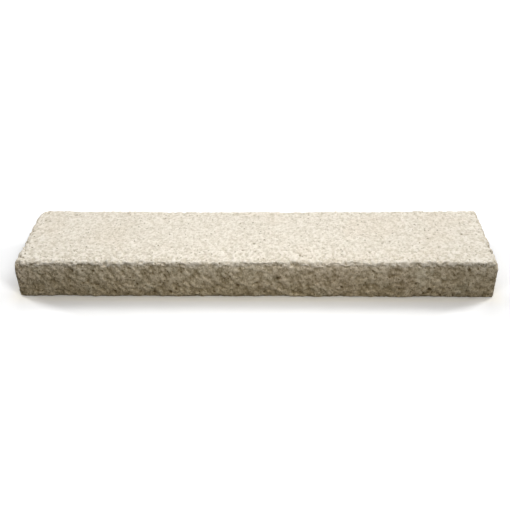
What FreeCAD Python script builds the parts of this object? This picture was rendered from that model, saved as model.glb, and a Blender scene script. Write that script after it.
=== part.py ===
"""Wall coping stone: one flat slab of cast stone with hewn long faces and worn arrises.

The stone lies on its bed, the plain underside that is mortared to the head of a wall.
X runs along the wall, Y across it and Z up, and the origin is the middle of the bed.
The two ends are straight, to butt against the next stone in the course.  The two long
faces look as if they were pitched by hand: they swell and hollow by a millimetre or so,
in shallow arcs of unequal length that run into one another without a crease.
"""

import FreeCAD, Part

import math
import os

# Driving dimensions, in millimetres
LENGTH = 580.0  # along the wall
WIDTH = 136.0  # across the wall, over the highest swells of the two hewn faces
HEIGHT = 50.0  # bed to top
CORNER_RADIUS = 5.0  # the four upright corners
TOP_ARRIS_RADIUS = 4.0  # worn edge round the top
BED_ARRIS_RADIUS = 3.0  # edge round the bed, kept crisper
SWELL_PITCH = 105.0  # one swell and one hollow of a hewn face, on average
SWELL_HEIGHT = 0.7  # the highest swell, above the line that the arcs join on
LONGEST_TO_SHORTEST = 2.4  # how unequal the arcs of a hewn face are

# Where each hewn face starts in the run of unequal arcs, so that the two differ
BACK_SEED = 1
FRONT_SEED = 6

# The fractional part of multiples of this never repeats, so no two arcs are alike
GOLDEN_STEP = (math.sqrt(5.0) - 1.0) / 2.0

LEVEL_TOLERANCE = 1e-4


def arc_spans(seed):
    """Lengths of the arcs of one hewn face, swell and hollow by turns, adding up to the stone."""
    count = 2 * max(1, round(LENGTH / SWELL_PITCH)) + 1
    spread = [(number * GOLDEN_STEP) % 1.0 for number in range(seed, seed + count)]
    shares = [1.0 + (LONGEST_TO_SHORTEST - 1.0) * part for part in spread]
    return [LENGTH * share / sum(shares) for share in shares]


def hewn_line(seed):
    """Plan edges of one hewn face from left to right, with its highest swell on y = 0.

    Every arc meets the joining line at the same angle, so each runs smoothly into the next,
    and its rise is in proportion to its length.  Swells bulge to +y and hollows to -y.
    """
    spans = arc_spans(seed)
    rise_per_length = SWELL_HEIGHT / max(spans[0::2])
    edges = []
    start = FreeCAD.Vector(-LENGTH / 2.0, -SWELL_HEIGHT, 0.0)
    for number, span in enumerate(spans):
        outwards = 1.0 if number % 2 == 0 else -1.0
        crown = start + FreeCAD.Vector(span / 2.0, outwards * span * rise_per_length, 0.0)
        end = start + FreeCAD.Vector(span, 0.0, 0.0)
        edges.append(Part.Arc(start, crown, end).toShape())
        start = end
    return edges


def plan_face():
    """Plan of the stone: two hewn faces joined by two straight ends."""
    back = Part.Wire(hewn_line(BACK_SEED))
    back.translate(FreeCAD.Vector(0.0, WIDTH / 2.0, 0.0))
    front = Part.Wire(hewn_line(FRONT_SEED))
    front.rotate(FreeCAD.Vector(), FreeCAD.Vector(0.0, 0.0, 1.0), 180.0)
    front.translate(FreeCAD.Vector(0.0, -WIDTH / 2.0, 0.0))
    end_width = WIDTH - 2.0 * SWELL_HEIGHT
    ends = [
        Part.makeLine((x, -end_width / 2.0, 0.0), (x, end_width / 2.0, 0.0))
        for x in (-LENGTH / 2.0, LENGTH / 2.0)
    ]
    outline = Part.sortEdges(back.Edges + front.Edges + ends)[0]
    return Part.Face(Part.Wire(outline))


def corner_edges(solid):
    """The four upright edges where the hewn faces meet the ends."""
    return [
        edge
        for edge in solid.Edges
        if edge.BoundBox.ZLength > HEIGHT / 2.0
        and abs(abs(edge.CenterOfMass.x) - LENGTH / 2.0) < LEVEL_TOLERANCE
    ]


def edges_at_height(solid, height):
    """The edges that lie wholly in the level plane at this height."""
    return [
        edge
        for edge in solid.Edges
        if abs(edge.BoundBox.ZMin - height) < LEVEL_TOLERANCE
        and abs(edge.BoundBox.ZMax - height) < LEVEL_TOLERANCE
    ]


def coping_stone():
    """The whole stone: the plan raised to its height, then its corners and arrises rounded."""
    stone = plan_face().extrude(FreeCAD.Vector(0.0, 0.0, HEIGHT))
    stone = stone.makeFillet(CORNER_RADIUS, corner_edges(stone))
    stone = stone.makeFillet(TOP_ARRIS_RADIUS, edges_at_height(stone, HEIGHT))
    stone = stone.makeFillet(BED_ARRIS_RADIUS, edges_at_height(stone, 0.0))
    return stone


def main():
    """Build the stone and write it as one solid."""
    os.makedirs("parts", exist_ok=True)
    stone = coping_stone()
    stone.exportStep("parts/coping_stone.step")
    box = stone.optimalBoundingBox(True, False)
    print(f"coping_stone valid {stone.isValid()} solids {len(stone.Solids)} faces {len(stone.Faces)}")
    print(f"size {box.XLength:.3f} x {box.YLength:.3f} x {box.ZLength:.3f} mm")
    print(f"volume {stone.Volume / 1e6:.4f} litres")


main()
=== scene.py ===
"""Looks of the wall coping stone: its rough cast surface, finish, floor, light and camera.

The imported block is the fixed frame.  One closed mesh stands for it: a lattice laid over the block,
rounded and swollen much as the block is, and then worn inwards by a relief of lumps, tool marks,
grains, air holes, chips and a crumbled top arris.  X runs along the wall, Y across it and Z up.
Lengths are in metres, except in the relief, whose values are in millimetres and say so.
"""

import itertools
import logging
import math
from dataclasses import dataclass, field
from enum import Enum
from typing import NamedTuple, Union

import bpy
import numpy as np
from mathutils import Matrix, Vector


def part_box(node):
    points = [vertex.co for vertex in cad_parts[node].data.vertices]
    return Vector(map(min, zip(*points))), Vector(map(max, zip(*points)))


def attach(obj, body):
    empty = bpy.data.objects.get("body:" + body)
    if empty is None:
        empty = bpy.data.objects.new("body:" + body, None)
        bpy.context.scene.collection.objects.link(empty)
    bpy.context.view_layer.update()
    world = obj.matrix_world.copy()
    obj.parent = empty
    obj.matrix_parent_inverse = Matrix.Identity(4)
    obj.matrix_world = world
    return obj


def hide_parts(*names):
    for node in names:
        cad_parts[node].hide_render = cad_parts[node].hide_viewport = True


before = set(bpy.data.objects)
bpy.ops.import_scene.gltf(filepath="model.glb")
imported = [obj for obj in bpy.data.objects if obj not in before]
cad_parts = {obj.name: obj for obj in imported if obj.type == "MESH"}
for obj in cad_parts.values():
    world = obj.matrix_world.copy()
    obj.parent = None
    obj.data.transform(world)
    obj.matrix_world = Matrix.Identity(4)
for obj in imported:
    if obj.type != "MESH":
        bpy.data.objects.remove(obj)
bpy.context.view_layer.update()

LOG = logging.getLogger("coping_stone")
MM = 0.001
TINY = 1e-12
STONE_NODE = "coping_stone"
STONE_BODY = "root"
IMAGE_SIDE = 510.0
HEWN_AND_SHADE_ATTRIBUTE = "hewn"
HOLLOW_SHADE_ATTRIBUTE = "hollow"
PIT_SHADE_ATTRIBUTE = "pit"
BAKE_MAP = "OFBake"

Plug = Union[float, tuple, bpy.types.NodeSocket]


class Side(Enum):
    """The six faces of the block: the axis each is square to, and the end of that axis it lies at."""

    TOP = (2, 1)
    BED = (2, 0)
    FRONT = (1, 0)
    BACK = (1, 1)
    LEFT_END = (0, 0)
    RIGHT_END = (0, 1)

    @property
    def axis(self) -> int:
        """The axis that the face is square to."""
        return self.value[0]

    @property
    def far(self) -> bool:
        """True for the face at the high end of its axis."""
        return self.value[1] == 1

    @property
    def running_axes(self) -> tuple[int, int]:
        """The two axes that the face spreads over, in right-handed order with its own axis."""
        return (self.axis + 1) % 3, (self.axis + 2) % 3


class Waves(NamedTuple):
    """Waves of a relief: their length and height in millimetres, and how many finer ones ride on them."""

    length: float
    height: float
    finer: int = 0


class Pattern(NamedTuple):
    """A relief: the place where it reads the noise, so that no two match, and its kinds of waves."""

    shift: float
    kinds: tuple[Waves, ...]


class Scatter(NamedTuple):
    """Air holes scattered over a face, in millimetres.

    The shift is the place where they read the noise.  They lie about a spacing apart, a share of the
    places has one, and the radius and depth are those of the largest.
    """

    shift: float
    spacing: float
    share: float
    radius: float
    depth: float


class Hole(NamedTuple):
    """An air hole in a face: its place on the block, its radius and its depth, in millimetres."""

    x: float
    y: float
    z: float
    radius: float
    depth: float


class Knock(NamedTuple):
    """A corner of the block that has been knocked, and how deep and how far, in millimetres.

    The corner has 0 for the low end and 1 for the high end of each axis.
    """

    corner: tuple[int, int, int]
    depth: float
    reach: float


class Crumbs(NamedTuple):
    """How the top arris crumbles, as shares of the crumbs' depth and reaches in millimetres.

    The shares go downwards, inwards, inwards besides at the ends, and off both at the back.  The
    reaches say how far from the arris the moves downwards and inwards go.
    """

    downwards: float = 0.8
    inwards: float = 0.7
    at_ends: float = 0.4
    off_back: float = 0.75
    down_reach: float = 6.0
    inward_reach: float = 7.0


class PaleSkin(NamedTuple):
    """The top's pale skin, which hangs over the arris with a ragged edge, in millimetres.

    The edge hangs down by its waves less what is cut short, and below it the colour turns to that of
    the sides over a run, by a power of the way.  At the top the sides keep off a share of their colour,
    so that they are paler upwards and darker at the foot: painted light and shade.
    """

    edge: Pattern = Pattern(0.0, (Waves(6.5, 3.8, 2),))
    cut_short: float = 0.3
    run: float = 8.9
    power: float = 0.65
    # Painted light and shade: the share kept off makes the sides paler upwards and darker at the foot.
    kept_off: float = 0.45


class Wear(NamedTuple):
    """Wear of a face, in millimetres: its slow run below the block, the fine relief on it, and its pits."""

    slow: np.ndarray
    fine: np.ndarray
    pits: np.ndarray


CRUMB_WAVES = (Waves(30.0, 1.0, 1), Waves(9.0, 4.6, 2), Waves(4.5, 2.4))


def bell(distance: np.ndarray, reach: float) -> np.ndarray:
    """A bell over a distance, 1 in the middle and about a third at its reach: exp(-(d/r)^2)."""
    return np.exp(-((distance / reach) ** 2))


def placed(name: str, data: bpy.types.ID) -> bpy.types.Object:
    """Puts a new object into the scene that holds a mesh, a light or a camera."""
    thing = bpy.data.objects.new(name, data)
    bpy.context.scene.collection.objects.link(thing)
    return thing


@dataclass
class SpaceNoise:
    """Seeded noise over space, worked out on whole arrays of points.

    Attributes:
        seed: starts the random draws, so that each run gives the same stone.
        count: how many lattice cells pass before the pattern repeats.
        gain: brings the height of the waves to about 1.
        layer_step: shift from one layer of waves to the next, for a scale of 1.
        kind_step: shift from one kind of waves to the next.
    """

    seed: int
    count: int = 1024
    gain: float = 1.6
    layer_step: float = 17.3
    kind_step: float = 4.0
    shuffle: np.ndarray = field(init=False)
    slopes: np.ndarray = field(init=False)
    places: np.ndarray = field(init=False)
    shares: np.ndarray = field(init=False)

    def __post_init__(self) -> None:
        """Draws the tables: a shuffle of the cells, and a slope, a place and a share for each."""
        draws = np.random.default_rng(self.seed)
        self.shuffle = draws.permutation(self.count)
        slopes = draws.normal(size=(self.count, 3))
        self.slopes = slopes / np.linalg.norm(slopes, axis=1, keepdims=True)
        self.places = draws.random((self.count, 3))
        self.shares = draws.random(self.count)

    def pick(self, cells: np.ndarray) -> np.ndarray:
        """The table row of each lattice cell.

        Args:
            cells: whole numbers of cells along X, Y and Z, shape (points, 3).

        Returns:
            Row numbers, shape (points,): the shuffle taken three times, once for each axis.
        """
        x, y, z = cells.T
        row = self.shuffle[x % self.count]
        row = self.shuffle[(row + y) % self.count]
        return self.shuffle[(row + z) % self.count]

    def waves(self, points: np.ndarray) -> np.ndarray:
        """Smooth waves about one unit long.

        Each lattice corner has a slope; the height that the slope gives at a point is faded in from
        the eight corners of the point's cell by the curve 6t^5 - 15t^4 + 10t^3 along each axis.

        Args:
            points: places in units of one wave, shape (points, 3).

        Returns:
            Heights of about -1 to 1, shape (points,).
        """
        cells = np.floor(points).astype(np.int64)
        within = points - cells
        fade = within**3 * (within * (within * 6.0 - 15.0) + 10.0)
        height = np.zeros(len(points))
        for corner in itertools.product((0, 1), repeat=3):
            slope = self.slopes[self.pick(cells + corner)]
            rise = np.einsum("ij,ij->i", slope, within - corner)
            height += rise * np.prod(np.where(corner, fade, 1.0 - fade), axis=1)
        return self.gain * height

    def layers(self, points: np.ndarray, count: int) -> np.ndarray:
        """Waves upon waves: each layer is half as long and half as high as the one before.

        Args:
            points: places in units of the longest wave, shape (points, 3).
            count: how many layers are added.

        Returns:
            Heights of about -1 to 1, shape (points,).
        """
        scales = [2.0**layer for layer in range(count)]
        total = sum(self.waves((points + self.layer_step) * scale) / scale for scale in scales)
        return total / math.sqrt(sum(scale**-2 for scale in scales))

    def relief(self, points: np.ndarray, pattern: Pattern) -> np.ndarray:
        """Waves of several kinds laid over one another.

        Args:
            points: places in millimetres, shape (points, 3).
            pattern: the kinds of waves, and where they read the noise.

        Returns:
            Heights in millimetres, shape (points,).
        """
        height = np.zeros(len(points))
        for number, kind in enumerate(pattern.kinds):
            shift = pattern.shift + self.kind_step * number
            height += kind.height * self.layers(points / kind.length + shift, kind.finer + 1)
        return height

    def seeds(self, points: np.ndarray) -> tuple[np.ndarray, np.ndarray]:
        """The nearest of a scatter of seed points, one to each unit cell.

        Args:
            points: places in units of one cell, shape (points, 3).

        Returns:
            The distance to the nearest seed, in cells, and that seed's share, evenly spread from 0 to 1.
        """
        cells = np.floor(points).astype(np.int64)
        nearest = np.full(len(points), np.inf)
        share = np.zeros(len(points))
        for step in itertools.product((-1, 0, 1), repeat=3):
            rows = self.pick(cells + step)
            distance = np.linalg.norm(cells + step + self.places[rows] - points, axis=1)
            closer = distance < nearest
            nearest = np.where(closer, distance, nearest)
            share = np.where(closer, self.shares[rows], share)
        return nearest, share


@dataclass
class HewnLine:
    """Plan line of one hewn face: tangent arcs of unequal length, swell and hollow by turns.

    Attributes:
        seed: where the run of unequal arcs starts.
        length: length of the stone.
        pitch: one swell and one hollow, on average.
        height: rise of the highest swell.
        longest_to_shortest: how unequal the arcs are.
    """

    seed: int
    length: float
    pitch: float = 105.0 * MM
    height: float = 0.7 * MM
    longest_to_shortest: float = 2.4

    def rise(self, along: np.ndarray) -> np.ndarray:
        """How far the line stands out from its joining line.

        The arcs' lengths follow multiples of the golden section, and each arc rises by
        4u(1 - u) times its height, u being the way along it from 0 to 1.

        Args:
            along: distance from the left end of the line, shape (points,).

        Returns:
            The rise outwards, negative in a hollow, shape (points,).
        """
        count = 2 * max(1, round(self.length / self.pitch)) + 1
        golden = (math.sqrt(5.0) - 1.0) / 2.0
        spread = (np.arange(self.seed, self.seed + count) * golden) % 1.0
        shares = 1.0 + (self.longest_to_shortest - 1.0) * spread
        spans = self.length * shares / shares.sum()
        ends = np.concatenate([[0.0], np.cumsum(spans)])
        arc = np.clip(np.searchsorted(ends, along, side="right") - 1, 0, count - 1)
        way = np.clip((along - ends[arc]) / spans[arc], 0.0, 1.0)
        crown = spans[arc] * self.height / spans[0::2].max()
        outwards = np.where(arc % 2 == 0, 1.0, -1.0)
        return outwards * crown * 4.0 * way * (1.0 - way)


@dataclass
class Lattice:
    """Lines ruled over the six faces of a block, and the mesh faces between them.

    The five faces that show are ruled all over.  The bed is ruled finely only in a margin along its
    arris; inside that it has wide tiles, with a ring of triangles between the two.

    Attributes:
        low: lowest corner of the block.
        high: highest corner of the block.
        pitch: distance between the lines.
        margin: lines of the bed's fine margin.
        tile: lines that one wide tile of the bed spans.
    """

    low: np.ndarray
    high: np.ndarray
    pitch: float
    margin: int = 4
    tile: int = 8
    counts: np.ndarray = field(init=False)

    def __post_init__(self) -> None:
        """Settles how many steps each axis has, so that wide tiles fill the bed."""
        steps = (self.high - self.low) / self.pitch
        tiles = np.round((steps - 2 * self.margin) / self.tile)
        tiled = (2 * self.margin + self.tile * tiles).astype(np.int64)
        self.counts = np.array([tiled[0], tiled[1], round(float(steps[2]))])

    @staticmethod
    def squares(across: int, along: int) -> np.ndarray:
        """The squares of a grid, as places in it.

        Args:
            across: squares along the first running axis.
            along: squares along the second running axis.

        Returns:
            Corners of each square, anticlockwise, shape (squares, 4, 2).
        """
        first = np.stack(np.meshgrid(np.arange(across), np.arange(along), indexing="ij"), axis=-1)
        return first.reshape(-1, 1, 2) + np.array([[0, 0], [1, 0], [1, 1], [0, 1]])

    def bed_faces(self) -> list[np.ndarray]:
        """The bed's faces: squares in the margin, triangles in the ring, then wide tiles.

        Each point of the ring's outer line belongs to the nearest corner of the tiles inside it.
        A triangle joins each step of the outer line to the first point's corner, and another fills
        the gap wherever the corner changes.

        Returns:
            Arrays of places in the bed's grid, each of shape (faces, corners, 2).
        """
        ends = self.counts[:2] - self.margin
        fine = self.squares(*self.counts[:2])
        inside = (fine.min(axis=1) >= self.margin) & (fine.max(axis=1) <= ends)
        margin = fine[~inside.all(axis=1)]

        across, along = (np.arange(self.margin, end) for end in ends)
        outer = np.concatenate([
            np.stack([across, np.full_like(across, self.margin)], axis=1),
            np.stack([np.full_like(along, ends[0]), along], axis=1),
            np.stack([across + 1, np.full_like(across, ends[1])], axis=1)[::-1],
            np.stack([np.full_like(along, self.margin), along + 1], axis=1)[::-1],
        ])
        nearest = np.rint((outer - self.margin) / self.tile) * self.tile + self.margin
        corner = np.clip(nearest, self.margin + self.tile, ends - self.tile).astype(np.int64)
        outer_next, corner_next = (np.roll(line, -1, axis=0) for line in (outer, corner))
        steps = np.stack([outer, outer_next, corner], axis=1)
        changes = (corner != corner_next).any(axis=1)
        gaps = np.stack([corner, outer_next, corner_next], axis=1)[changes]

        tiles = (self.counts[:2] - 2 * self.margin) // self.tile - 2
        wide = self.squares(*tiles) * self.tile + self.margin + self.tile
        return [margin, steps, gaps, wide]

    def faces_of(self, side: Side) -> list[np.ndarray]:
        """The faces of one side of the block, as lattice points.

        Args:
            side: which side.

        Returns:
            Arrays of whole numbers along X, Y and Z, each of shape (faces, corners, 3), with the
            corners anticlockwise seen from outside.
        """
        first, second = side.running_axes
        if side is Side.BED:
            grids = self.bed_faces()
        else:
            grids = [self.squares(self.counts[first], self.counts[second])]
        found = []
        for grid in grids:
            points = np.zeros((*grid.shape[:2], 3), np.int64)
            points[..., first] = grid[..., 0]
            points[..., second] = grid[..., 1]
            points[..., side.axis] = self.counts[side.axis] if side.far else 0
            found.append(points if side.far else points[:, ::-1])
        return found

    def places(self, points: np.ndarray) -> np.ndarray:
        """Where lattice points lie on the sharp block, as even steps from its lowest corner."""
        return self.low + (self.high - self.low) * points / self.counts

    def chart(self, side: Side, points: np.ndarray) -> np.ndarray:
        """Where a side's lattice points lie on a flat chart of the whole stone.

        The sides lie in rows across the unit square, all at one scale, with a gap between rows:
        top, bed, front, back, and the two ends beside each other.

        Args:
            side: which side.
            points: its lattice points, shape (..., 3).

        Returns:
            Chart coordinates from 0 to 1, shape (..., 2).
        """
        gap = 0.01
        spans = self.high - self.low
        scale = (1.0 - 2.0 * gap) / spans[0]
        wide, tall = spans[1] * scale, spans[2] * scale
        rows = {
            Side.TOP: (gap, gap),
            Side.BED: (gap, 2 * gap + wide),
            Side.FRONT: (gap, 3 * gap + 2 * wide),
            Side.BACK: (gap, 4 * gap + 2 * wide + tall),
            Side.LEFT_END: (gap, 5 * gap + 2 * wide + 2 * tall),
            Side.RIGHT_END: (2 * gap + wide, 5 * gap + 2 * wide + 2 * tall),
        }
        across, up = [axis for axis in range(3) if axis != side.axis]
        steps = (points / self.counts * spans * scale)[..., [across, up]]
        return steps + np.array(rows[side])


@dataclass
class Relief:
    """How deep the worn surface lies below the block at each point, in millimetres.

    Attributes:
        noise: the noise that every part of the relief reads, each at its own place.
        holes: air holes placed one by one.
        length: length of the stone.
        height: height of the stone.
        smallest_hole: radius of the smallest scattered air hole, as a share of the largest.
        tool_angle: slope of the tool marks on the long faces, downwards to the right.
        tool_mark: width, length and height of a tool mark.
        tool_patches: waves that bring out the tool marks and hide them by turns.
        hewn_skin: least wear of the long faces.
        lean: how far they lean back at half height, and twice as far at the top.
        bulge: how far they fall back towards the top and the bed.
        hewn_swells: long waves of the long faces.
        hewn_lumps: lumps of the long faces.
        hewn_pits: air holes of the long faces.
        skin: least wear of the top and the ends.
        sag: how far the top dips in the middle of its length.
        sag_run: distance towards the back over which that dip would double.
        top_swells: long waves of the top.
        top_lumps: lumps of the top.
        top_grains: grains of the top.
        lump_shares: share of the lumps all over the top, and the share that the rough strip adds.
        grain_shares: the same shares of the grains.
        top_pits: air holes of the top.
        tapers: how far the left and the right end fall back towards the bed.
        end_grains: grains of the ends.
        end_pits: air holes of the ends.
        chip_skin: least wear of an arris.
        chip_dips: waves of the long dips along an arris.
        dip_level: how far those waves are raised before what is below 0 is cut off.
        dip_depth: depth of the deepest dip.
        chip_notches: waves of the short notches along an arris.
        crumbs_down: waves by which the top arris crumbles downwards.
        crumbs_in: waves by which it crumbles inwards.
        crumb_level: how far the crumbs' waves are raised before what is below 0 is cut off.
    """

    noise: SpaceNoise
    holes: tuple[Hole, ...]
    length: float
    height: float
    smallest_hole: float = 0.45
    tool_angle: float = math.radians(54.0)
    tool_mark: tuple[float, float, float] = (4.2, 16.0, 1.0)
    tool_patches: Pattern = Pattern(2.0, (Waves(45.0, 1.2),))
    hewn_skin: float = 1.1
    lean: float = 0.75
    bulge: float = 1.9
    hewn_swells: Pattern = Pattern(0.0, (Waves(48.0, 0.4, 1),))
    hewn_lumps: Pattern = Pattern(5.0, (Waves(10.0, 1.15, 2), Waves(4.0, 1.05)))
    hewn_pits: Scatter = Scatter(0.0, 9.0, 0.36, 2.1, 1.7)
    skin: float = 0.2
    sag: float = 1.3
    sag_run: float = 150.0
    top_swells: Pattern = Pattern(3.0, (Waves(75.0, 0.2, 1),))
    top_lumps: Pattern = Pattern(7.0, (Waves(9.0, 1.0, 1),))
    top_grains: Pattern = Pattern(13.0, (Waves(3.6, 1.0, 1),))
    lump_shares: tuple[float, float] = (0.25, 0.7)
    grain_shares: tuple[float, float] = (0.7, 1.9)
    top_pits: Scatter = Scatter(4.0, 8.0, 0.3, 1.8, 1.2)
    tapers: tuple[float, float] = (2.0, 1.0)
    end_grains: Pattern = Pattern(21.0, (Waves(6.0, 0.3, 1),))
    end_pits: Scatter = Scatter(8.0, 10.0, 0.2, 1.5, 0.9)
    chip_skin: float = 0.1
    chip_dips: Pattern = Pattern(31.0, (Waves(16.0, 1.0, 2),))
    dip_level: float = 0.15
    dip_depth: float = 0.6
    chip_notches: Pattern = Pattern(37.0, (Waves(5.0, 1.5, 1),))
    crumbs_down: Pattern = Pattern(41.0, CRUMB_WAVES)
    crumbs_in: Pattern = Pattern(53.0, CRUMB_WAVES)
    crumb_level: float = 0.3

    @staticmethod
    def bowl(distance: np.ndarray, radius: np.ndarray) -> np.ndarray:
        """Depth of a round-bottomed hole, from 1 in the middle to 0 at its rim: (1 - d^2/r^2)^2."""
        return np.clip(1.0 - (distance / radius) ** 2, 0.0, 1.0) ** 2

    def air_holes(self, points: np.ndarray, scatter: Scatter) -> np.ndarray:
        """Scattered air holes, each as large as its draw from the noise.

        Args:
            points: places in millimetres, shape (points, 3).
            scatter: how they are spread and how large they are.

        Returns:
            Depths in millimetres, shape (points,).
        """
        distance, drawn = self.noise.seeds(points / scatter.spacing + scatter.shift)
        larger = (1.0 - self.smallest_hole) * drawn / scatter.share
        bowl = self.bowl(distance * scatter.spacing, scatter.radius * (self.smallest_hole + larger))
        return np.where(drawn < scatter.share, scatter.depth * bowl, 0.0)

    def hewn(self, points: np.ndarray, facing: np.ndarray) -> Wear:
        """Wear of the long faces: a slight lean and bulge, lumps, slanting tool marks and holes.

        The slow wear is skin + lean (1 + h) + bulge h^2 less the swells, h going from -1 at the bed
        to 1 at the top.  The tool marks are waves drawn out along their slope, in patches.

        Args:
            points: places in millimetres, shape (points, 3).
            facing: 1 where the face looks to +Y and -1 where it looks to -Y, shape (points,).

        Returns:
            The wear.
        """
        rightwards = -facing * points[:, 0]
        cosine, sine = math.cos(self.tool_angle), math.sin(self.tool_angle)
        along = rightwards * cosine - points[:, 2] * sine
        across = rightwards * sine + points[:, 2] * cosine
        width, length, height = self.tool_mark
        marks = height * self.noise.waves(np.stack([across / width, along / length, facing], axis=1))
        patchy = np.clip(0.5 + self.noise.relief(points, self.tool_patches), 0.0, 1.0)
        lumps = self.noise.relief(points, self.hewn_lumps)
        rise = 2.0 * points[:, 2] / self.height - 1.0
        slow = self.hewn_skin + self.lean * (1.0 + rise) + self.bulge * rise**2
        slow -= self.noise.relief(points, self.hewn_swells)
        return Wear(slow, -lumps - patchy * marks, self.air_holes(points, self.hewn_pits))

    def struck(self, points: np.ndarray, rough: np.ndarray) -> Wear:
        """Wear of the top: grains, rougher along the arris, few holes, and a dip in its length.

        The dip is sag (1 - u^2) (1 + v), u going from -1 at the left end to 1 at the right, and v
        being the distance towards the back in runs of the sag.

        Args:
            points: places in millimetres, shape (points, 3).
            rough: 1 in the rough strip along the arris, falling to 0 some way in, shape (points,).

        Returns:
            The wear.
        """
        shares = self.lump_shares, self.grain_shares
        lump_share, grain_share = (least + more * rough for least, more in shares)
        lumps = lump_share * self.noise.relief(points, self.top_lumps)
        grains = grain_share * self.noise.relief(points, self.top_grains)
        along, backwards = 2.0 * points[:, 0] / self.length, points[:, 1] / self.sag_run
        slow = self.skin + self.sag * (1.0 - along**2) * (1.0 + backwards)
        slow -= self.noise.relief(points, self.top_swells)
        return Wear(slow, -lumps - grains, self.air_holes(points, self.top_pits))

    def cast(self, points: np.ndarray) -> Wear:
        """Wear of the ends: nearly flat, with grains and small holes, and a slight taper to the bed."""
        taper = np.where(points[:, 0] < 0.0, *self.tapers)
        slow = self.skin + taper * (1.0 - points[:, 2] / self.height)
        grains = self.noise.relief(points, self.end_grains)
        return Wear(slow, -grains, self.air_holes(points, self.end_pits))

    def chips(self, points: np.ndarray) -> np.ndarray:
        """Depth of the wear along an arris, in millimetres: long dips and short notches."""
        dips = np.clip(self.noise.relief(points, self.chip_dips) + self.dip_level, 0.0, 1.0)
        return self.chip_skin + self.dip_depth * dips + self.noise.relief(points, self.chip_notches)

    def crumbled(self, points: np.ndarray, crumbs: Pattern) -> np.ndarray:
        """How far the top arris has crumbled away, in millimetres, and 0 where it is whole.

        Args:
            points: places in millimetres, shape (points, 3).
            crumbs: the waves of the crumbs.

        Returns:
            The depth, shape (points,).
        """
        return np.clip(self.crumb_level + self.noise.relief(points, crumbs), 0.0, None)

    def single_holes(self, points: np.ndarray) -> np.ndarray:
        """Depth of the air holes placed one by one, in millimetres."""
        depth = np.zeros(len(points))
        for hole in self.holes:
            distance = np.linalg.norm(points - np.array([hole.x, hole.y, hole.z]), axis=1)
            depth += hole.depth * self.bowl(distance, np.array(hole.radius))
        return depth


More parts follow.
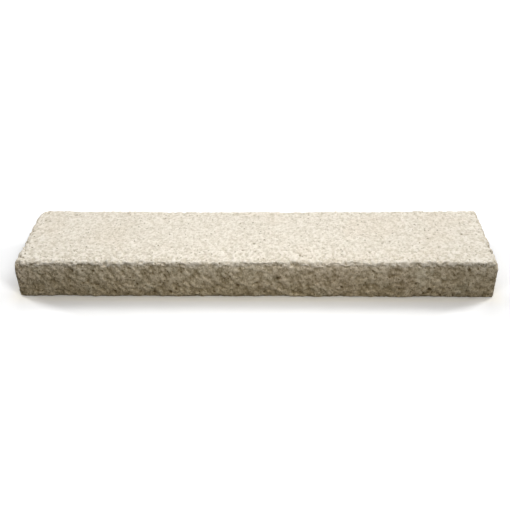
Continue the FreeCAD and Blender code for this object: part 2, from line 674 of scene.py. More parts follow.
@dataclass
class CopingStone:
    """The one piece of the object: a block of cast stone with hewn long faces and worn arrises.

    Attributes:
        low: lowest corner of the block.
        high: highest corner of the block.
        corner_radius: rounding of the upright corners.
        top_radius: rounding of the top arris, wider than the block's because the wear narrows it.
        bed_radius: rounding of the arris round the bed.
        bed_fade: how far in from its arris the bed is still worn.
        chip_reach: how far the chips go from the top arris, in millimetres.
        strip_width: width of the rough strip along the front of the top, in millimetres.
        edge_share: how rough the top is along its other arrises, as a share of that strip.
        edge_width: width of that roughness, in millimetres.
        crumbs: how the top arris crumbles.
        pale_skin: how the top's colour hangs over its arris.
        usual_relief: usual depth of the fine relief on the top and on the sides, in millimetres.
        pitch: size of the relief mesh's squares.
        back_seed: where the back's run of unequal arcs starts.
        front_seed: where the front's run of unequal arcs starts.
        noise_seed: seed of the relief.
        knocks: corners that have been knocked.
        holes: air holes placed one by one.
    """

    low: np.ndarray
    high: np.ndarray
    corner_radius: float = 5.0 * MM
    top_radius: float = 7.0 * MM
    bed_radius: float = 3.0 * MM
    bed_fade: float = 9.0 * MM
    chip_reach: float = 5.0
    strip_width: float = 24.0
    edge_share: float = 0.35
    edge_width: float = 16.0
    crumbs: Crumbs = Crumbs()
    pale_skin: PaleSkin = PaleSkin()
    usual_relief: tuple[float, float] = (0.45, 1.0)
    pitch: float = 1.29 * MM
    back_seed: int = 1
    front_seed: int = 6
    noise_seed: int = 41
    knocks: tuple[Knock, ...] = (
        Knock((0, 0, 1), 2.8, 8.5),
        Knock((1, 0, 1), 1.6, 9.0),
        Knock((0, 1, 1), 3.4, 10.0),
        Knock((1, 1, 1), 0.9, 6.0),
    )
    holes: tuple[Hole, ...] = (
        Hole(-219, -67, 38, 2.5, 2.0),
        Hole(-194, -67, 38, 2.9, 2.2),
        Hole(-183, -67, 38, 2.5, 1.8),
        Hole(-207, -67, 21, 2.3, 1.8),
        Hole(-224, -67, 16, 2.7, 1.8),
        Hole(-203, -67, 8, 2.3, 1.6),
        Hole(-170, -67, 9, 2.9, 2.0),
        Hole(-265, -67, 9, 2.5, 1.6),
        Hole(-132, -67, 44, 2.3, 1.8),
        Hole(-31, -67, 22, 2.1, 1.4),
        Hole(-20, -67, 18, 2.9, 2.4),
        Hole(-102, -67, 8, 2.9, 2.2),
        Hole(-142, -67, 19, 2.7, 1.6),
        Hole(28, -67, 27, 2.9, 2.4),
        Hole(3, -67, 21, 2.3, 1.6),
        Hole(142, -67, 38, 2.5, 1.8),
        Hole(144, -67, 30, 2.3, 1.6),
        Hole(255, -67, 40, 2.9, 2.2),
        Hole(238, -67, 32, 2.3, 1.6),
        Hole(211, -67, 12, 3.1, 2.4),
        Hole(204, -67, 6, 2.9, 2.2),
        Hole(174, -67, 13, 2.5, 1.8),
        Hole(-221, -37, 50, 2.2, 1.4),
        Hole(-238, 52, 50, 2.8, 1.4),
        Hole(-119, 44, 50, 2.6, 1.4),
        Hole(-275, 37, 50, 2.4, 1.4),
        Hole(-1, -19, 50, 2.4, 1.6),
        Hole(1, -38, 50, 2.2, 1.4),
        Hole(55, -46, 50, 2.2, 1.4),
        Hole(258, 3, 50, 2.4, 1.4),
        Hole(157, -18, 50, 2.2, 1.4),
        Hole(139, -39, 50, 2.2, 1.2),
        Hole(-288, 16, 49, 3.4, 2.2),
        Hole(-287, -15, 49, 3.0, 1.6),
        Hole(-287, -53, 49, 3.0, 2.0),
    )

    def plan_distance(self, places: np.ndarray, half: np.ndarray) -> tuple[np.ndarray, np.ndarray]:
        """How far points lie outside the block's plan, a rectangle with round corners.

        Inside the corner circles' core the distance is to the nearer pair of sides; elsewhere it is
        the distance from the core less the corner radius.

        Args:
            places: points, shape (points, 3).
            half: half the plan's length and width.

        Returns:
            The distance, negative inside, and the way outwards, shape (points, 2).
        """
        plan = places[:, :2]
        core = half - self.corner_radius
        beyond = np.abs(plan) - core
        outside = np.clip(beyond, 0.0, None)
        reach = np.linalg.norm(outside, axis=1)
        distance = reach + np.minimum(beyond.max(axis=1), 0.0) - self.corner_radius
        nearer = np.eye(2)[beyond.argmax(axis=1)]
        way = np.where(reach[:, None] > 0.0, outside / np.maximum(reach, TINY)[:, None], nearer)
        return distance, way * np.where(plan < 0.0, -1.0, 1.0)

    def rounded(self, places: np.ndarray) -> tuple[np.ndarray, np.ndarray, np.ndarray, np.ndarray]:
        """Moves points of the sharp block to the nearest point of the rounded one.

        The distance to the rounded block is that of a quarter circle between the plan's distance
        and the distance above the top or below the bed, and each point goes back along it.

        Args:
            places: points on the sharp block, shape (points, 3).

        Returns:
            The rounded block's points, the way outwards there, the way outwards in plan, shape
            (points, 2), and how far each lies inside the plan, 0 on the long faces and ends.
        """
        half = (self.high - self.low)[:2] / 2.0
        middle = (self.low[2] + self.high[2]) / 2.0
        upper = places[:, 2] > middle
        radius = np.where(upper, self.top_radius, self.bed_radius)
        above = np.where(upper, places[:, 2] - self.high[2], self.low[2] - places[:, 2])
        sideways, way = self.plan_distance(places, half)
        corner = np.clip(np.stack([sideways + radius, above + radius], axis=1), 0.0, None)
        reach = np.linalg.norm(corner, axis=1)
        share = corner / np.maximum(reach, TINY)[:, None]
        outwards = np.concatenate([way * share[:, :1], share[:, 1:]], axis=1)
        outwards[:, 2] *= np.where(upper, 1.0, -1.0)
        moved = places - outwards * (reach - radius)[:, None]
        return moved, outwards, way, np.clip(-sideways, 0.0, None)

    def swelling(self, places: np.ndarray) -> np.ndarray:
        """How far points move across the wall, so that the long faces swell and hollow as hewn.

        The whole rise is at a long face and it falls with the square of the way to the middle.

        Args:
            places: points of the rounded block, shape (points, 3).

        Returns:
            The move along Y, shape (points,).
        """
        length = self.high[0] - self.low[0]
        back = HewnLine(self.back_seed, length)
        front = HewnLine(self.front_seed, length)
        from_left = places[:, 0] - self.low[0]
        rise = np.where(
            places[:, 1] > 0.0,
            back.rise(from_left) - back.height,
            -(front.rise(length - from_left) - front.height),
        )
        return rise * (places[:, 1] / self.high[1]) ** 2

    def relief(self) -> Relief:
        """The relief of this stone, from its seed, its holes and its size."""
        length, _, height = (self.high - self.low) / MM
        return Relief(SpaceNoise(self.noise_seed), self.holes, length, height)

    def knocked(self, points: np.ndarray) -> np.ndarray:
        """How points move at the knocked corners, slantwise into the stone.

        The whole depth is at the corner and it falls off as a bell about it.

        Args:
            points: places in millimetres, shape (points, 3).

        Returns:
            The moves in millimetres, shape (points, 3).
        """
        ends = np.stack([self.low, self.high]) / MM
        moves = np.zeros_like(points)
        for knock in self.knocks:
            distance = np.linalg.norm(points - ends[list(knock.corner), [0, 1, 2]], axis=1)
            inwards = 1.0 - 2.0 * np.array(knock.corner)
            inwards /= np.linalg.norm(inwards)
            moves += np.outer(knock.depth * bell(distance, knock.reach), inwards)
        return moves

    def to_top_arris(self, places: np.ndarray, inset: np.ndarray) -> np.ndarray:
        """How far points lie from the sharp block's top arris, in millimetres, by their inset."""
        return np.hypot(inset, self.high[2] - places[:, 2]) / MM

    def worn(
        self, places: np.ndarray, upwards: np.ndarray, way: np.ndarray, inset: np.ndarray
    ) -> Wear:
        """Wear of the surface below the rounded block.

        The top's wear counts by how squarely the surface looks up, and the wear of the long faces and
        ends by the rest of it, in proportion to the square of the way outwards in plan.  Chips count
        near the top arris and the upright corners.  On the bed all wear fades out from the arris.
        The top is rough in a strip along its front, and less so along its other arrises.

        Args:
            places: points of the rounded block, shape (points, 3).
            upwards: 1 on the top and 0 on the long faces, the ends and the bed, shape (points,).
            way: the way outwards in plan, shape (points, 2).
            inset: how far each lies inside the plan, shape (points,).

        Returns:
            The wear.
        """
        points = places / MM
        relief = self.relief()
        to_arris = self.to_top_arris(places, inset)
        low = places[:, 2] < (self.low[2] + self.high[2]) / 2.0
        fade = np.where(low, np.clip(1.0 - inset / self.bed_fade, 0.0, 1.0), 1.0)
        corner = 4.0 * way[:, 0] ** 2 * way[:, 1] ** 2 * (1.0 - upwards)
        chipped = np.clip(bell(to_arris, self.chip_reach) + corner, 0.0, 1.0)
        from_front = (places[:, 1] - self.low[1]) / MM
        edge = self.edge_share * bell(to_arris, self.edge_width)
        rough = np.maximum(bell(from_front, self.strip_width), edge)
        faces = (
            (upwards, relief.struck(points, rough)),
            ((1.0 - upwards) * way[:, 1] ** 2, relief.hewn(points, np.sign(way[:, 1]))),
            ((1.0 - upwards) * way[:, 0] ** 2, relief.cast(points)),
        )
        slow, fine, pits = (sum(share * wear[part] for share, wear in faces) for part in range(3))
        slow += chipped * relief.chips(points)
        pits += relief.single_holes(points)
        return Wear(*(fade * part for part in (slow, fine, pits)))

    def crumbling(self, places: np.ndarray, level: np.ndarray, inset: np.ndarray) -> np.ndarray:
        """How points move down and inwards, so that the top arris looks crumbled and not ruled.

        Both moves fall off as a bell with the distance to the arris, and are less at the back.  The
        move downwards reads its crumbs straight above a point, level with the top, and the move
        inwards straight outwards, at the plan's edge.  So neither changes along its own way, which
        would fold the surface over.

        Args:
            places: points of the rounded block, shape (points, 3).
            level: the way outwards in plan, shape (points, 3).
            inset: how far each lies inside the plan, shape (points,).

        Returns:
            The moves, shape (points, 3), with those of the knocked corners.
        """
        relief, points, crumbs = self.relief(), places / MM, self.crumbs
        to_arris = self.to_top_arris(places, inset)
        share = 1.0 - crumbs.off_back * np.clip(places[:, 1] / self.high[1], 0.0, 1.0)
        above = points * [1.0, 1.0, 0.0] + [0.0, 0.0, self.high[2] / MM]
        down = crumbs.downwards * share * bell(to_arris, crumbs.down_reach)
        down *= relief.crumbled(above, relief.crumbs_down)
        outside = points + level * inset[:, None] / MM
        inwards = share * (crumbs.inwards + crumbs.at_ends * np.abs(level[:, 0]))
        inwards *= bell(to_arris, crumbs.inward_reach) * relief.crumbled(outside, relief.crumbs_in)
        return MM * (np.outer(down, [0.0, 0.0, -1.0]) - level * inwards[:, None] + self.knocked(points))

    def build(self) -> bpy.types.Object:
        """Makes the stone's mesh: the lattice's points, rounded, swollen and worn.

        Returns:
            The new object, at the origin, with its finish masks and its flat chart.
        """
        lattice = Lattice(self.low, self.high, self.pitch)
        sides = [(side, faces) for side in Side for faces in lattice.faces_of(side)]
        corners = np.concatenate([faces.reshape(-1, 3) for _, faces in sides])
        points, loops = np.unique(corners, axis=0, return_inverse=True)
        sizes = np.concatenate([np.full(len(faces), faces.shape[1]) for _, faces in sides])
        chart = np.concatenate([lattice.chart(side, faces).reshape(-1, 2) for side, faces in sides])

        block, outwards, way, inset = self.rounded(lattice.places(points))
        upwards = np.clip(outwards[:, 2], 0.0, None) ** 2
        wear = self.worn(block, upwards, way, inset)
        depth = np.clip(sum(wear), 0.0, None) * MM
        level = np.concatenate([way, np.zeros((len(way), 1))], axis=1)
        inwards = -np.where(outwards[:, 2:] < 0.0, level, outwards)
        places = block + inwards * depth[:, None]
        places[:, 1] += self.swelling(block)
        places += self.crumbling(block, level, inset)
        masks = self.masks(block, wear)

        mesh = bpy.data.meshes.new("coping_stone_relief")
        mesh.vertices.add(len(places))
        mesh.vertices.foreach_set("co", places.astype(np.float32).ravel())
        mesh.loops.add(len(loops))
        mesh.loops.foreach_set("vertex_index", loops.astype(np.int32).ravel())
        mesh.polygons.add(len(sizes))
        mesh.polygons.foreach_set("loop_start", (np.cumsum(sizes) - sizes).astype(np.int32))
        mesh.uv_layers.new(name=BAKE_MAP).uv.foreach_set("vector", chart.astype(np.float32).ravel())
        for name, values in masks.items():
            mask = mesh.attributes.new(name, "FLOAT", "POINT")
            mask.data.foreach_set("value", values.astype(np.float32))
        mesh.update(calc_edges=True)
        mesh.validate()
        mesh.polygons.foreach_set("use_smooth", np.ones(len(mesh.polygons), bool))
        return placed("coping_stone_relief", mesh)

    def masks(self, places: np.ndarray, wear: Wear) -> dict[str, np.ndarray]:
        """Finish masks of the surface.

        Hewn is 0 on the top and 1 at the foot of the long faces and ends, with the pale skin's ragged
        edge at the arris.  It reaches further up at the knocked corners and is less towards the top of the
        sides, so the sides' colour that it brings, partly painted shade, is darker at their foot than
        higher up.
        Hollow is 0 on the highest lumps, a half at the middle of the relief, and 1 in its hollows: it
        carries painted shade in the hollows and painted light on the lumps.  Pit is 1 in an air hole a
        millimetre
        deep or more: it carries painted shade in the holes.

        Args:
            places: points of the rounded block, shape (points, 3).
            wear: the wear there.

        Returns:
            Values from 0 to 1 by mask name, each of shape (points,).
        """
        points, skin = places / MM, self.pale_skin
        level = np.clip((places[:, 2] - self.low[2]) / (self.high[2] - self.low[2]), 0.0, 1.0)
        # The knocked corners take the sides' colour, partly painted shade, further up.
        below = (self.high[2] - places[:, 2]) / MM + np.linalg.norm(self.knocked(points), axis=1)
        ragged = SpaceNoise(self.noise_seed + 1).relief(points, skin.edge)
        hanging = np.clip(ragged - skin.cut_short, 0.0, None)
        turned = np.clip((below - hanging) / skin.run, 0.0, 1.0) ** skin.power
        on_top, on_sides = self.usual_relief
        usual = on_top + (on_sides - on_top) * turned
        return {
            # Painted light and shade: less of the sides' colour towards their top, more at their foot.
            HEWN_AND_SHADE_ATTRIBUTE: turned * (1.0 - skin.kept_off * level),
            # Painted shade in the hollows and painted light on the lumps.
            HOLLOW_SHADE_ATTRIBUTE: np.clip(0.5 + 0.5 * wear.fine / usual, 0.0, 1.0),
            # Painted shade in the air holes.
            PIT_SHADE_ATTRIBUTE: np.clip(wear.pits, 0.0, 1.0),
        }

    def dress(self, stone: bpy.types.Object, finish: "CastStone") -> None:
        """Gives the stone its finish and sets it in the frame.

        Args:
            stone: the stone's object.
            finish: the finish of its surface.
        """
        stone.data.materials.append(finish.material())
        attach(stone, STONE_BODY)
        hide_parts(STONE_NODE)


class NodeGraph:
    """Adds nodes to a node tree and links them, taking a number or a socket for each input."""

    def __init__(self, tree: bpy.types.NodeTree) -> None:
        """Keeps the tree that the nodes go into."""
        self.tree = tree

    @classmethod
    def emptied(cls, owner: Union[bpy.types.Material, bpy.types.World]) -> "NodeGraph":
        """Starts the node tree of a material or a world afresh."""
        owner.use_nodes = True
        owner.node_tree.nodes.clear()
        return cls(owner.node_tree)

    def plug(self, socket: bpy.types.NodeSocket, value: Plug) -> None:
        """Links a socket to the input, or sets the input to a number or colour."""
        if isinstance(value, bpy.types.NodeSocket):
            self.tree.links.new(value, socket)
        else:
            socket.default_value = value

    def fill(self, node: bpy.types.Node, inputs: dict[str, Plug]) -> bpy.types.Node:
        """Gives a node its inputs, by their names with _ for a space."""
        for name, value in inputs.items():
            self.plug(node.inputs[name.replace("_", " ")], value)
        return node

    def add(self, kind: str, **inputs: Plug) -> bpy.types.Node:
        """Adds a node.

        Args:
            kind: the node's type, without the word ShaderNode.
            inputs: values or sockets by the input's name, with _ for a space.

        Returns:
            The new node.
        """
        return self.fill(self.tree.nodes.new("ShaderNode" + kind), inputs)

    def place(self) -> bpy.types.NodeSocket:
        """Where a point lies in its object's own coordinates."""
        return self.add("TexCoord").outputs["Object"]

    def operate(self, kind: str, operation: str, inputs: tuple[Plug, ...]) -> bpy.types.NodeOutputs:
        """Adds a node that works a sum out.

        Args:
            kind: the node's type, Math or VectorMath.
            operation: Blender's name for the sum.
            inputs: what the sum takes, in order.

        Returns:
            The node's outputs.
        """
        node = self.add(kind)
        node.operation = operation
        for number, value in enumerate(inputs):
            self.plug(node.inputs[number], value)
        return node.outputs

    def math(self, operation: str, *inputs: Plug) -> bpy.types.NodeSocket:
        """The result of a sum on numbers, by Blender's name for it."""
        return self.operate("Math", operation, inputs)["Value"]

    def vector(self, operation: str, *inputs: Plug) -> bpy.types.NodeSocket:
        """The result of a sum on vectors, by Blender's name for it."""
        outputs = self.operate("VectorMath", operation, inputs)
        return outputs["Value" if operation == "LENGTH" else "Vector"]

    def product(self, first: Plug, *others: Plug) -> Plug:
        """The product of several numbers."""
        for other in others:
            first = self.math("MULTIPLY", first, other)
        return first

    def spread(self, value: Plug, low: Plug, high: Plug) -> bpy.types.NodeSocket:
        """Takes 0 to low and 1 to high, in a straight line between them."""
        node = self.add("MapRange", Value=value, To_Min=low, To_Max=high)
        return node.outputs["Result"]

    def ramp(self, value: Plug, start: Plug, end: Plug) -> bpy.types.NodeSocket:
        """A smooth step from 0 at start to 1 at end."""
        node = self.add("MapRange", Value=value, From_Min=start, From_Max=end)
        node.interpolation_type = "SMOOTHSTEP"
        return node.outputs["Result"]

    def blend(self, share: Plug, first: Plug, second: Plug) -> bpy.types.NodeSocket:
        """Mixes two colours: the first at share 0, the second at share 1."""
        node = self.tree.nodes.new("ShaderNodeMix")
        node.data_type = "RGBA"
        sockets = {socket.identifier: socket for socket in node.inputs}
        self.plug(sockets["Factor_Float"], share)
        self.plug(sockets["A_Color"], first)
        self.plug(sockets["B_Color"], second)
        return next(socket for socket in node.outputs if socket.identifier == "Result_Color")

    def group(self, tree: bpy.types.NodeTree, **inputs: Plug) -> bpy.types.Node:
        """Places a node group with its own values."""
        node = self.add("Group")
        node.node_tree = tree
        return self.fill(node, inputs)


def group_tree(name: str, numbers: tuple[str, ...], result: str) -> bpy.types.NodeTree:
    """Starts a node group that reads a place.

    Args:
        name: the group's name.
        numbers: names of its inputs besides the place.
        result: name of its output.

    Returns:
        The tree, with its sockets and no nodes yet.
    """
    tree = bpy.data.node_groups.new(name, "ShaderNodeTree")
    tree.interface.new_socket("Place", in_out="INPUT", socket_type="NodeSocketVector")
    for number in numbers:
        tree.interface.new_socket(number, in_out="INPUT", socket_type="NodeSocketFloat")
    tree.interface.new_socket(result, in_out="OUTPUT", socket_type="NodeSocketFloat")
    return tree


class GrainGroup:
    """Node group: cloudy grain of one size.

    Attributes:
        DETAIL: how many finer clouds ride on the first.
        SPAN: values of the clouds between which the shade goes from 0 to 1.
    """

    DETAIL = 3.0
    SPAN = (0.28, 0.72)

    @staticmethod
    def tree() -> bpy.types.NodeTree:
        """Builds the group.

        Returns:
            A tree with inputs Place, Size and Crispness and the output Shade, from 0 to 1.
        """
        tree = group_tree("stone_grain", ("Size", "Crispness"), "Shade")
        graph = NodeGraph(tree)
        given = tree.nodes.new("NodeGroupInput").outputs
        per_metre = graph.math("DIVIDE", 1.0, given["Size"])
        cloud = graph.add("TexNoise", Vector=given["Place"], Scale=per_metre, Detail=GrainGroup.DETAIL)
        graph.plug(cloud.inputs["Roughness"], given["Crispness"])
        shade = graph.ramp(cloud.outputs["Fac"], *GrainGroup.SPAN)
        result = tree.nodes.new("NodeGroupOutput")
        graph.plug(result.inputs["Shade"], shade)
        return tree


class SpeckGroup:
    """Node group: scattered round specks, such as sand grains or pinholes."""

    @staticmethod
    def tree() -> bpy.types.NodeTree:
        """Builds the group.

        Returns:
            A tree with inputs Place, Spacing, Share and Radius (of one spacing) and the output Speck,
            1 inside a speck and 0 between them.
        """
        tree = group_tree("stone_specks", ("Spacing", "Share", "Radius"), "Speck")
        graph = NodeGraph(tree)
        given = tree.nodes.new("NodeGroupInput").outputs
        per_metre = graph.math("DIVIDE", 1.0, given["Spacing"])
        seeds = graph.add("TexVoronoi", Vector=given["Place"], Scale=per_metre)
        drawn = graph.add("SeparateColor", Color=seeds.outputs["Color"]).outputs["Red"]
        chosen = graph.math("LESS_THAN", drawn, given["Share"])
        half = graph.math("MULTIPLY", given["Radius"], 0.5)
        inside = graph.ramp(seeds.outputs["Distance"], given["Radius"], half)
        result = tree.nodes.new("NodeGroupOutput")
        graph.plug(result.inputs["Speck"], graph.math("MULTIPLY", chosen, inside))
        return tree


class Grain(NamedTuple):
    """Cloudy grain of the finish: its size, and how crisp it is."""

    size: float
    crispness: float


class Specks(NamedTuple):
    """Specks of the finish: their spacing, the share of places with one, and their radius in spacings."""

    spacing: float
    share: float
    radius: float


@dataclass(frozen=True)
class CastStone:
    """Finish of the stone: buff cast stone, paler on its top, with sand grains and pinholes.

    A pair of amounts is for the smooth top and for the broken surface of the sides.  The sides'
    darker, browner colour is partly their own tone and partly painted shade.

    Attributes:
        top_colour: colour of the top.
        side_colour: colour of the hewn faces and ends: own tone and painted shade.
        warm_tint: colour that warm patches lean to.
        warm_shares: how far they lean to it.
        warm_band: shades of the grain between which they set in.
        patches: grain of the warm patches.
        cool_tint: colour that greyer patches lean to.
        cool_share: how far they lean to it.
        cool_band: shades of the grain between which they set in.
        blotches: grain of the greyer patches.
        broken_band: how hewn the surface is where it starts to be broken, and where it is all broken.
        mottle: the larger grain.
        mottle_swing: how far that lightens and darkens the surface.
        fine: the finer grain.
        fine_swing: how far that does so.
        relief_swing: how far painted light on the lumps and painted shade in the hollows go.
        dark_sand: dark sand grains.
        dark_sand_depth: how far they darken the surface.
        pinholes: pinholes.
        pinhole_depth: how far they darken the surface, as painted shade in them.
        pit_depth: how far the air holes darken it, as painted shade in them.
        pale_sand: pale sand grains.
        pale_sand_gain: how far they lighten the surface.
        brightest: the most that all of these may lighten it.
        scale_powers: how fast the red, green and blue parts fall as the surface darkens.
        roughness: roughness of the surface at its smoothest and roughest.
        sheen: strength of its reflection.
        bump_height: height of the grain that the mesh is too coarse for.
        bump_strength: how much of that height counts.
        bump_shares: shares of it for the finer grain, the larger grain and the pinholes.
    """

    top_colour: tuple = (0.788, 0.733, 0.634, 1.0)
    side_colour: tuple = (0.618, 0.512, 0.335, 1.0)
    warm_tint: tuple = (0.70, 0.57, 0.43, 1.0)
    warm_shares: tuple = (0.12, 0.3)
    warm_band: tuple = (0.5, 1.0)
    patches: Grain = Grain(70.0 * MM, 0.55)
    cool_tint: tuple = (0.62, 0.60, 0.47, 1.0)
    cool_share: float = 0.3
    cool_band: tuple = (0.55, 1.0)
    blotches: Grain = Grain(31.0 * MM, 0.5)
    broken_band: tuple = (0.0, 0.25)
    mottle: Grain = Grain(6.0 * MM, 0.6)
    mottle_swing: tuple = (0.06, 0.26)
    fine: Grain = Grain(2.2 * MM, 0.7)
    fine_swing: tuple = (0.14, 0.31)
    relief_swing: tuple = (0.15, 0.3)
    dark_sand: Specks = Specks(2.6 * MM, 0.22, 0.36)
    dark_sand_depth: tuple = (0.3, 0.45)
    pinholes: Specks = Specks(5.2 * MM, 0.3, 0.25)
    pinhole_depth: tuple = (0.5, 0.6)
    pit_depth: tuple = (0.6, 0.78)
    pale_sand: Specks = Specks(3.1 * MM, 0.18, 0.4)
    pale_sand_gain: float = 0.13
    brightest: tuple = (1.15, 1.45)
    scale_powers: tuple = (1.0, 1.1, 1.35)
    roughness: tuple = (0.82, 0.97)
    sheen: float = 0.3
    bump_height: float = 0.7 * MM
    bump_strength: float = 0.7
    bump_shares: tuple = (0.7, 0.6, 0.8)

    def material(self) -> bpy.types.Material:
        """Builds the material.

        The colour runs from the top's to the sides' by how hewn the surface is, the sides' being partly
        their own tone and partly painted shade.  It leans to the tints in patches, and is then scaled by
        its grains and specks, with painted shade in its hollows, pinholes and air holes and painted light
        on its lumps.

        Returns:
            The material, patterned on the stone's own coordinates and masks.
        """
        material = bpy.data.materials.new("cast_stone")
        graph = NodeGraph.emptied(material)
        grain, specks = GrainGroup.tree(), SpeckGroup.tree()
        place = graph.place()
        hewn = self.mask(graph, HEWN_AND_SHADE_ATTRIBUTE)
        hollow = self.mask(graph, HOLLOW_SHADE_ATTRIBUTE)
        pit = self.mask(graph, PIT_SHADE_ATTRIBUTE)

        def shade(kind: Grain) -> bpy.types.NodeSocket:
            """Grain of one kind over the stone."""
            node = graph.group(grain, Place=place, Size=kind.size, Crispness=kind.crispness)
            return node.outputs["Shade"]

        def speck(kind: Specks) -> bpy.types.NodeSocket:
            """Specks of one kind over the stone."""
            values = {name.capitalize(): value for name, value in kind._asdict().items()}
            return graph.group(specks, Place=place, **values).outputs["Speck"]

        mottle, fine, pinholes = shade(self.mottle), shade(self.fine), speck(self.pinholes)
        warm = graph.ramp(shade(self.patches), *self.warm_band)
        cool = graph.ramp(shade(self.blotches), *self.cool_band)
        # The sides' colour is partly their own deeper tone and partly painted shade.
        colour = graph.blend(hewn, self.top_colour, self.side_colour)
        warm_share = graph.product(warm, graph.spread(hewn, *self.warm_shares))
        colour = graph.blend(warm_share, colour, self.warm_tint)
        colour = graph.blend(graph.product(cool, self.cool_share, hewn), colour, self.cool_tint)

        broken = graph.ramp(hewn, *self.broken_band)
        # Painted light on the lumps and painted shade in the hollows of the relief.
        raised = graph.math("SUBTRACT", 1.0, hollow)
        swings = ((mottle, self.mottle_swing), (fine, self.fine_swing), (raised, self.relief_swing))
        varied = [self.vary(graph, mask, graph.spread(broken, *pair)) for mask, pair in swings]
        # Dark sand is the stone's own colour; the pinholes and air holes are darkened as painted shade.
        depths = (
            (speck(self.dark_sand), graph.spread(broken, *self.dark_sand_depth)),
            (pinholes, graph.spread(broken, *self.pinhole_depth)),
            (pit, graph.spread(hewn, *self.pit_depth)),
        )
        darkened = [self.darker(graph, mask, depth) for mask, depth in depths]
        lighter = graph.product(speck(self.pale_sand), self.pale_sand_gain)
        scale = graph.math("ADD", graph.product(*varied, *darkened), lighter)
        scale = graph.math("MINIMUM", scale, graph.spread(hewn, *self.brightest))
        tone = self.tinted(graph, colour, scale)

        fine_share, mottle_share, pinhole_share = self.bump_shares
        grains = graph.math("ADD", graph.product(fine, fine_share), graph.product(mottle, mottle_share))
        height = graph.math("SUBTRACT", grains, graph.product(pinholes, pinhole_share))
        bump = graph.add("Bump", Strength=self.bump_strength, Distance=self.bump_height, Height=height)

        surface = graph.add("BsdfPrincipled", Base_Color=tone)
        surface.inputs["Specular IOR Level"].default_value = self.sheen
        graph.plug(surface.inputs["Roughness"], graph.spread(fine, *self.roughness))
        graph.plug(surface.inputs["Normal"], bump.outputs["Normal"])
        graph.add("OutputMaterial", Surface=surface.outputs["BSDF"])
        return material

    @staticmethod
    def mask(graph: NodeGraph, name: str) -> bpy.types.NodeSocket:
        """One of the masks that the stone's mesh carries."""
        node = graph.add("Attribute")
        node.attribute_name = name
        return node.outputs["Fac"]

    @staticmethod
    def vary(graph: NodeGraph, shade: Plug, amount: Plug) -> bpy.types.NodeSocket:
        """A scale about 1 that swings by an amount each way as the shade goes from 0 to 1."""
        low = graph.math("SUBTRACT", 1.0, amount)
        return graph.spread(shade, low, graph.math("ADD", 1.0, amount))

    def tinted(self, graph: NodeGraph, colour: Plug, scale: Plug) -> bpy.types.NodeSocket:
        """Scales a colour so that it browns as it darkens, each part by its own power of the scale."""
        red, green, blue = (graph.math("POWER", scale, power) for power in self.scale_powers)
        parts = graph.add("CombineXYZ", X=red, Y=green, Z=blue).outputs["Vector"]
        return graph.vector("MULTIPLY", colour, parts)

    @staticmethod
    def darker(graph: NodeGraph, mask: Plug, amount: Plug) -> bpy.types.NodeSocket:
        """A scale that falls from 1 by an amount where the mask is 1."""
        return graph.math("SUBTRACT", 1.0, graph.math("MULTIPLY", mask, amount))


def seen_directly(graph: NodeGraph) -> bpy.types.NodeSocket:
    """1 for rays that show a thing itself or its reflection, and 0 for rays that only carry its light.

    Args:
        graph: the node tree to work in.

    Returns:
        The socket that holds it.
    """
    path = graph.add("LightPath").outputs
    mirrored = graph.math("MAXIMUM", path["Is Glossy Ray"], path["Is Transmission Ray"])
    return graph.math("MAXIMUM", path["Is Camera Ray"], mirrored)


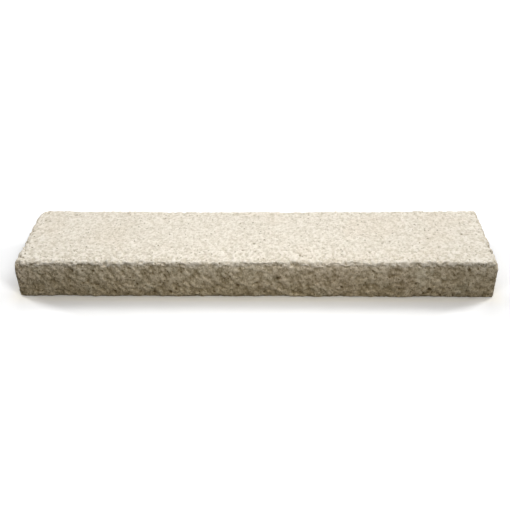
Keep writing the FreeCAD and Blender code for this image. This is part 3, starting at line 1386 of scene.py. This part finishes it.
@dataclass
class StudioFloor:
    """A plain white floor that keeps the stone's shadow.

    Attributes:
        stone_half: half the stone's length and width.
        reach: half the floor's width.
        lines: lines of the floor's grid, each way.
        seen_colour: its colour to the camera.
        foot_colour: its colour to the camera at the stone's foot, painted warm bounce light.
        foot_band: distances from the stone between which that turns to its own colour.
        seen_glow: light that it adds of its own to the camera beside the stone.
        back_glow: the same light further back beside the stone.
        back_band: places across the wall between which the one turns to the other.
        corner_glows: painted light added to it at the left and at the right front corner,
        which cuts the shadow off aslant as wide lamps would.
        corner_slant: how far along the wall that moves for each step across it.
        corner_rise: slanting distances from the middle between which it rises.
        corner_ends: slanting distances at which it has fallen again, at the left and the right corner.
        white_band: distances from the stone between which that light rises until the floor is white.
        bounce_colour: its colour for the light that it throws back at the stone.
    """

    stone_half: tuple[float, float]
    reach: float = 12.0
    lines: int = 9
    seen_colour: tuple = (0.943, 0.953, 0.97, 1.0)
    foot_colour: tuple = (0.95, 0.925, 0.86, 1.0)
    foot_band: tuple = (0.0, 0.017)
    seen_glow: float = 0.09
    back_glow: float = 0.14
    back_band: tuple = (-0.07, 0.0)
    corner_glows: tuple = (0.14, 0.11)
    corner_slant: float = 1.5
    corner_rise: tuple = (0.36, 0.386)
    corner_ends: tuple = (0.52, 0.43)
    white_band: tuple = (0.03, 0.25)
    bounce_colour: tuple = (0.07, 0.067, 0.059, 1.0)

    def build(self) -> bpy.types.Object:
        line = np.linspace(-self.reach, self.reach, self.lines)
        x, y = np.meshgrid(line, line, indexing="ij")
        points = np.stack([x, y, np.zeros_like(x)], axis=-1).reshape(-1, 3)
        squares = Lattice.squares(self.lines - 1, self.lines - 1) @ np.array([self.lines, 1])
        mesh = bpy.data.meshes.new("studio_floor")
        mesh.from_pydata(points.tolist(), [], squares.tolist())
        mesh.materials.append(self.material())
        floor = placed("studio_floor", mesh)
        return floor

    def material(self) -> bpy.types.Material:
        """A matt floor: white where it is seen, duller for the light it throws back."""
        material = bpy.data.materials.new("studio_floor")
        graph = NodeGraph.emptied(material)
        place = graph.place()
        seen, away = seen_directly(graph), self.distance(graph, place)
        # Painted bounce light: the floor is warm at the stone's foot.
        shown = graph.blend(graph.ramp(away, *self.foot_band), self.foot_colour, self.seen_colour)
        matt = graph.add("BsdfDiffuse", Color=graph.blend(seen, self.bounce_colour, shown))
        rise = graph.ramp(away, *self.white_band)
        parts = graph.add("SeparateXYZ", Vector=place).outputs
        backwards = graph.ramp(parts["Y"], *self.back_band)
        beside = graph.spread(backwards, self.seen_glow, self.back_glow)
        # Painted light at the two front corners, which cuts the shadow off aslant.
        forwards = graph.math("MULTIPLY", parts["Y"], -self.corner_slant)
        aslant = graph.math("ADD", graph.math("ABSOLUTE", parts["X"]), forwards)
        rising = graph.ramp(aslant, *self.corner_rise)
        right = graph.math("GREATER_THAN", parts["X"], 0.0)
        falling = graph.ramp(aslant, graph.spread(right, *self.corner_ends), self.corner_rise[1])
        corner = graph.product(rising, falling, graph.spread(right, *self.corner_glows))
        beside = graph.math("ADD", beside, corner)
        strength = graph.product(seen, graph.spread(rise, beside, 1.0))
        glow = graph.add("Emission", Strength=strength)
        both = graph.tree.nodes.new("ShaderNodeAddShader")
        graph.plug(both.inputs[0], matt.outputs["BSDF"])
        graph.plug(both.inputs[1], glow.outputs["Emission"])
        graph.add("OutputMaterial", Surface=both.outputs["Shader"])
        return material

    def distance(self, graph: NodeGraph, place: Plug) -> bpy.types.NodeSocket:
        """How far a place on the floor lies outside the stone's plan, taken as a rectangle."""
        beyond = graph.vector("SUBTRACT", graph.vector("ABSOLUTE", place), (*self.stone_half, 0.0))
        return graph.vector("LENGTH", graph.vector("MAXIMUM", beyond, (0.0, 0.0, 0.0)))


class Lamp(NamedTuple):
    """A far soft lamp.

    Its bearing runs anticlockwise from the right, its height from the floor, and its share is of the
    light on a level surface.
    """

    name: str
    bearing: float
    height: float
    spread: float
    share: float


class Softbox(NamedTuple):
    """A near lamp that faces the stone: its place, size, share of the light straight ahead, and colour."""

    name: str
    place: tuple[float, float, float]
    size: tuple[float, float]
    share: float
    colour: tuple[float, float, float] = (1.0, 1.0, 1.0)


@dataclass
class StudioLight:
    """Two far soft lamps, four near softboxes and a faint even fill.

    Attributes:
        lamps: the far lamps.
        softboxes: the near ones.
        aim: the point that the softboxes face.
        fill_colour: colour of the fill.
        fill_strength: strength of the fill.
    """

    lamps: tuple[Lamp, ...] = (
        Lamp("right_front", math.radians(-41.0), math.radians(50.0), math.radians(17.0), 0.145),
        Lamp("back", math.radians(90.0), math.radians(52.0), math.radians(26.0), 0.14),
    )
    softboxes: tuple[Softbox, ...] = (
        Softbox("overhead", (0.0, 0.01, 0.5), (0.3, 0.25), 0.305),
        Softbox("left_back", (-0.81, 0.26, 0.66), (0.2, 0.2), 0.29),
        Softbox("right_back", (0.81, 0.3, 0.62), (0.2, 0.2), 0.345),
        Softbox("front_card", (0.04, -0.42, 0.26), (0.3, 0.2), 0.235, (1.0, 0.935, 0.815)),
    )
    aim: tuple[float, float, float] = (0.0, -0.05, 0.03)
    fill_colour: tuple = (1.0, 0.945, 0.84, 1.0)
    fill_strength: float = 0.08

    @staticmethod
    def hang(light: bpy.types.Light, place: Vector, towards: Vector) -> None:
        """Hangs a light at a place, with its back turned to the way that it shines from."""
        holder = placed(light.name, light)
        holder.rotation_euler = towards.to_track_quat("Z", "Y").to_euler()
        holder.location = place
        holder.visible_camera = False

    def build(self) -> None:
        """Makes the lamps, the softboxes and the world."""
        for lamp in self.lamps:
            light = bpy.data.lights.new(lamp.name, "SUN")
            light.energy = math.pi * lamp.share / math.sin(lamp.height)
            light.angle = lamp.spread
            level = math.cos(lamp.height)
            towards = Vector((
                level * math.cos(lamp.bearing),
                level * math.sin(lamp.bearing),
                math.sin(lamp.height),
            ))
            self.hang(light, towards, towards)
        for softbox in self.softboxes:
            light = bpy.data.lights.new(softbox.name, "AREA")
            light.shape = "RECTANGLE"
            light.size, light.size_y = softbox.size
            towards = Vector(softbox.place) - Vector(self.aim)
            light.color = softbox.colour
            light.energy = math.pi**2 * softbox.share * towards.length_squared
            self.hang(light, Vector(softbox.place), towards)

        world = bpy.data.worlds.new("studio")
        graph = NodeGraph.emptied(world)
        seen = seen_directly(graph)
        colour = graph.blend(seen, self.fill_colour, (1.0, 1.0, 1.0, 1.0))
        strength = graph.spread(seen, self.fill_strength, 1.0)
        sky = graph.add("Background", Color=colour, Strength=strength)
        graph.add("OutputWorld", Surface=sky.outputs["Background"])
        bpy.context.scene.world = world


@dataclass
class Viewpoint:
    """Where the photograph was taken from.

    Attributes:
        place: the camera's place.
        pitch: how far it looks down.
        yaw: how far it looks to the right.
        roll: how far it leans to its left.
        focal_pixels: focal length in pixels of the photograph.
        sensor: width of the sensor, in Blender's millimetres.
    """

    place: tuple = (27.2 * MM, -823.0 * MM, 544.0 * MM)
    pitch: float = math.radians(32.488)
    yaw: float = math.radians(-1.944)
    roll: float = math.radians(-0.963)
    focal_pixels: float = 763.4
    sensor: float = 36.0

    def build(self) -> None:
        """Makes the camera from its three axes and gives it to the scene."""
        ahead = Vector((
            math.sin(self.yaw) * math.cos(self.pitch),
            math.cos(self.yaw) * math.cos(self.pitch),
            -math.sin(self.pitch),
        ))
        level = Vector((math.cos(self.yaw), -math.sin(self.yaw), 0.0))
        upright = level.cross(ahead)
        right = level * math.cos(self.roll) + upright * math.sin(self.roll)
        up = upright * math.cos(self.roll) - level * math.sin(self.roll)
        lens = bpy.data.cameras.new("viewpoint")
        lens.sensor_width = self.sensor
        lens.lens = self.focal_pixels / IMAGE_SIDE * self.sensor
        camera = placed("viewpoint", lens)
        axes = Matrix((right, up, -ahead)).transposed()
        camera.matrix_world = Matrix.Translation(self.place) @ axes.to_4x4()
        bpy.context.scene.camera = camera


def main() -> None:
    """Builds the camera, the stone, the floor and the light, in that order."""
    logging.basicConfig(level=logging.INFO, format="%(name)s: %(message)s")
    bpy.context.scene.view_settings.view_transform = "Standard"
    Viewpoint().build()
    low, high = (np.array(corner, float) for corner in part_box(STONE_NODE))
    stone_maker = CopingStone(low, high)
    stone = stone_maker.build()
    stone_maker.dress(stone, CastStone())
    LOG.info("%s: %d points, %d faces", stone.name, len(stone.data.vertices), len(stone.data.polygons))
    floor = StudioFloor((high[0], high[1])).build()
    LOG.info("%s: stage", floor.name)
    StudioLight().build()


if __name__ == "__main__":
    main()
